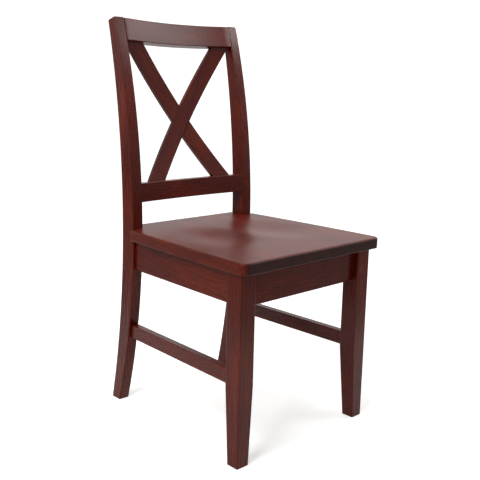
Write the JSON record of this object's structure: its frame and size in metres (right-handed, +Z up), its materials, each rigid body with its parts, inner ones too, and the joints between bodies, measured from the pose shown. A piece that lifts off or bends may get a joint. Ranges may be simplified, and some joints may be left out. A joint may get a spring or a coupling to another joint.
{
  "type": "cross back dining chair",
  "caption": "Armless wooden dining chair with curved posts, a crossed-slat open back, a hollowed seat panel and side stretchers, for sitting at a table.",
  "frame": {"origin": "on the floor, under the middle of the chair's bounding box", "axes": "+Z up, -Y the way the sitter faces, +X towards the sitter's left hand, so the chair is symmetric about the plane X = 0 apart from the lap of the cross slats"},
  "size_m": [0.4492, 0.5314, 0.9587],
  "materials": {
    "stained_frame_wood": "dark red-brown stain under semi-gloss lacquer",
    "stained_seat_wood": "dark red-brown stain under semi-gloss lacquer, glued from boards",
    "plain_block_wood": "sawn and unstained",
    "zinc_screw_steel": "zinc plated"
  },
  "bodies": {
    "root": {"back_post_left": "stained_frame_wood", "back_post_right": "stained_frame_wood", "front_leg_left": "stained_frame_wood", "front_leg_right": "stained_frame_wood", "crest_rail": "stained_frame_wood", "lower_back_rail": "stained_frame_wood", "cross_slat_rising": "stained_frame_wood", "cross_slat_falling": "stained_frame_wood", "seat_panel": "stained_seat_wood", "front_apron": "stained_frame_wood", "rear_apron": "stained_frame_wood", "side_apron_left": "stained_frame_wood", "side_apron_right": "stained_frame_wood", "side_stretcher_left": "stained_frame_wood", "side_stretcher_right": "stained_frame_wood", "corner_block_front_left": "plain_block_wood", "corner_block_front_right": "plain_block_wood", "corner_block_rear_left": "plain_block_wood", "corner_block_rear_right": "plain_block_wood", "seat_screws": "zinc_screw_steel"}
  },
  "joints": []
}
